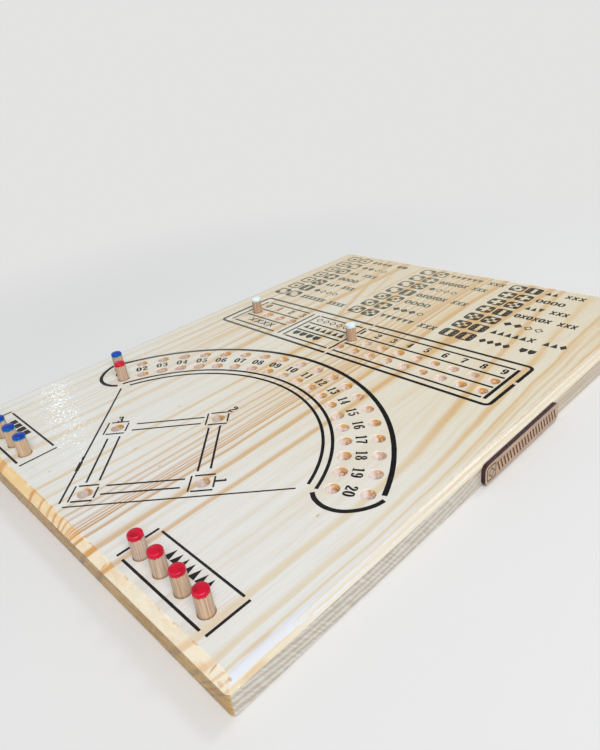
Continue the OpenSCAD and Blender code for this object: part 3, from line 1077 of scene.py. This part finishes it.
# Dice chart: each row is a pair of faces and the signs of its outcome
PIPS = {1: [(0, 0)], 2: [(-1, -1), (1, 1)], 3: [(-1, -1), (0, 0), (1, 1)],
        4: [(-1, -1), (-1, 1), (1, -1), (1, 1)],
        5: [(-1, -1), (-1, 1), (0, 0), (1, -1), (1, 1)],
        6: [(-1, -1), (-1, 0), (-1, 1), (1, -1), (1, 0), (1, 1)]}
DIE_HALF = 7.4
DIE_CORNER = 2.6
DIE_LINE = 2
DICE_BEFORE = (32.7, 13.8)
PIP_STEP = 4.1
PIP_RADIUS = 2.4
PIP_SIDES = 16
CHART_TOP = 247.9
CHART_PITCH = 22.2
CHART_COLUMNS = [
    (-139, [(1, 1, "DDDD pp", 55), (1, 2, "DDdd", 41), (1, 3, "aa xxx", 42), (1, 4, "oooo", 31),
            (1, 5, "aav xxx", 44), (1, 6, "Dddd", 38), (2, 2, "xxxxxx xxxx", 68)]),
    (-20, [(2, 3, "vvvvvv xxx", 71), (2, 4, "oxoxox xxx", 61), (2, 5, "Dddd", 38),
           (2, 6, "oxoxox xxx", 64), (3, 3, "oooo", 33), (3, 4, "DDDd", 41),
           (3, 5, "vvvvvv xxx", 71)]),
    (98, [(3, 6, "aa xxx", 42), (4, 4, "oooo", 31), (4, 5, "aav xxx", 45),
          (4, 6, "oxoxox xxx", 63), (5, 5, "DDdd", 42), (5, 6, "aaaaax aaD", 74),
          (6, 6, "DDDD pp", 56)]),
]


def die_face(marks, cx, cy, value):
    corners = box_corners((cx - DIE_HALF, cy - DIE_HALF), (cx + DIE_HALF, cy + DIE_HALF),
                          DIE_CORNER)
    ribbon(marks, resample(sum(corners, []), closed=True), DIE_LINE, closed=True)
    for px, py in PIPS[value]:
        disc(marks, (cx + PIP_STEP * px, cy + PIP_STEP * py), PIP_RADIUS, PIP_SIDES)


def draw_dice(marks):
    for left, rows in CHART_COLUMNS:
        for k, (*values, _, _) in enumerate(rows):
            for value, before in zip(values, DICE_BEFORE):
                die_face(marks, left - before, CHART_TOP - k * CHART_PITCH, value)


def draw_outcomes(marks):
    for left, rows in CHART_COLUMNS:
        for k, (_, _, kinds, width) in enumerate(rows):
            signs(marks, kinds, left, CHART_TOP - k * CHART_PITCH, width, LABEL_HEIGHT)


PAINTED = [("field_lines", draw_field), ("run_track_lines", draw_track),
           ("scoreboard_lines", draw_scoreboard), ("store_box_lines", draw_store_boxes),
           ("dice_chart_faces", draw_dice), ("dice_chart_outcomes", draw_outcomes)]


# Surroundings, in metres but for the floor's fade
BACKDROP = (0.77, 0.77, 0.765, 1)
FLOOR_RADIUS, FLOOR_SIDES, FLOOR_Z = 9, 96, -0.0004
FLOOR_FADE = (340, 800)
FLOOR_GREY = ((0.78, 0.78, 0.775), (0.81, 0.81, 0.805))
SKY, SKY_STRENGTH = (0.95, 0.97, 1, 1), 0.45
# Lamps: name, place, aim, width and height, watts and colour
LAMPS = [
    ("window_left", (-2.99, 0.68, 1.47), (-0.12, -0.2, 0), (0.1, 0.22), 0.75, (0.74, 0.9, 1)),
    ("softbox_back", (0.1, 1.5, 1.75), (0, 0, 0), (0.4, 0.5), 7.5, (0.95, 0.98, 1)),
    ("softbox_front", (2.61, -1.12, 2.7), (0, 0, 0), (2.1, 2.1), 104, (1, 0.985, 0.965)),
]


def seen_directly(tree):
    """1 on rays that reach the camera, also by a mirror or through glass."""
    path = tree.nodes.new("ShaderNodeLightPath")
    seen = path.outputs["Is Camera Ray"]
    for ray in ("Is Glossy Ray", "Is Transmission Ray"):
        either = tree.nodes.new("ShaderNodeMath")
        either.operation = "MAXIMUM"
        tree.links.new(seen, either.inputs[0])
        tree.links.new(path.outputs[ray], either.inputs[1])
        seen = either.outputs[0]
    return seen


def mix_surface(tree, share, first, second, output):
    mix = tree.nodes.new("ShaderNodeMixShader")
    for source, socket in zip((share, first.outputs[0], second.outputs[0]), mix.inputs):
        tree.links.new(source, socket)
    tree.links.new(mix.outputs[0], output.inputs["Surface"])


def make_floor():
    rim = loop((0, 0), (FLOOR_RADIUS, FLOOR_RADIUS), FLOOR_SIDES)
    mesh = bpy.data.meshes.new("studio_floor")
    mesh.from_pydata([(x, y, FLOOR_Z) for x, y in rim], [], [list(range(FLOOR_SIDES))])
    floor = link("studio_floor", mesh)
    net = Net("studio_floor")
    place = net.place()
    cloud = net.noise(place, 0.004)
    net.finish(net.blend(cloud, *FLOOR_GREY), 0.85, specular=0.2)
    glow = net.node("ShaderNodeEmission")
    glow.inputs["Color"].default_value = BACKDROP
    far = net.fit(net.vector("LENGTH", place), *FLOOR_FADE)
    share = net.times(far, seen_directly(net.tree))
    mix_surface(net.tree, share, net.shader, glow, net.output)
    mesh.materials.append(net.material)


def make_world():
    world = bpy.data.worlds.new("studio")
    bpy.context.scene.world = world
    world.use_nodes = True
    tree = world.node_tree
    light = tree.nodes["Background"]
    light.inputs["Color"].default_value = SKY
    light.inputs["Strength"].default_value = SKY_STRENGTH
    seen = tree.nodes.new("ShaderNodeBackground")
    seen.inputs["Color"].default_value = BACKDROP
    mix_surface(tree, seen_directly(tree), light, seen, tree.nodes["World Output"])


def make_lamps():
    for name, at, aim, size, watts, color in LAMPS:
        data = bpy.data.lights.new(name, "AREA")
        data.shape = "RECTANGLE"
        data.size, data.size_y = size
        data.energy = watts
        data.color = color
        lamp = link(name, data)
        lamp.location = at
        lamp.rotation_euler = (Vector(aim) - Vector(at)).to_track_quat("-Z", "Y").to_euler()


def dress(node, material):
    piece = bpy.data.objects[node]
    piece.data.materials.clear()
    piece.data.materials.append(material)


def dress_nodes():
    dress("board", pine_material())
    for name, pegs, paint_from, paints, wood in DOWELS:
        material = dowel_material(name, paint_from, paints, wood)
        for peg in pegs:
            dress(peg, material)
    _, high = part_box("side_plaque")
    dress("side_plaque", plaque_material(high[0] / MM))


make_camera()
make_floor()
make_world()
make_lamps()
bpy.context.scene.view_settings.view_transform = "Standard"
dress_nodes()
ink = ink_material()
for title, draw in PAINTED:
    painted = Marks(title)
    draw(painted)
    painted.build(ink)
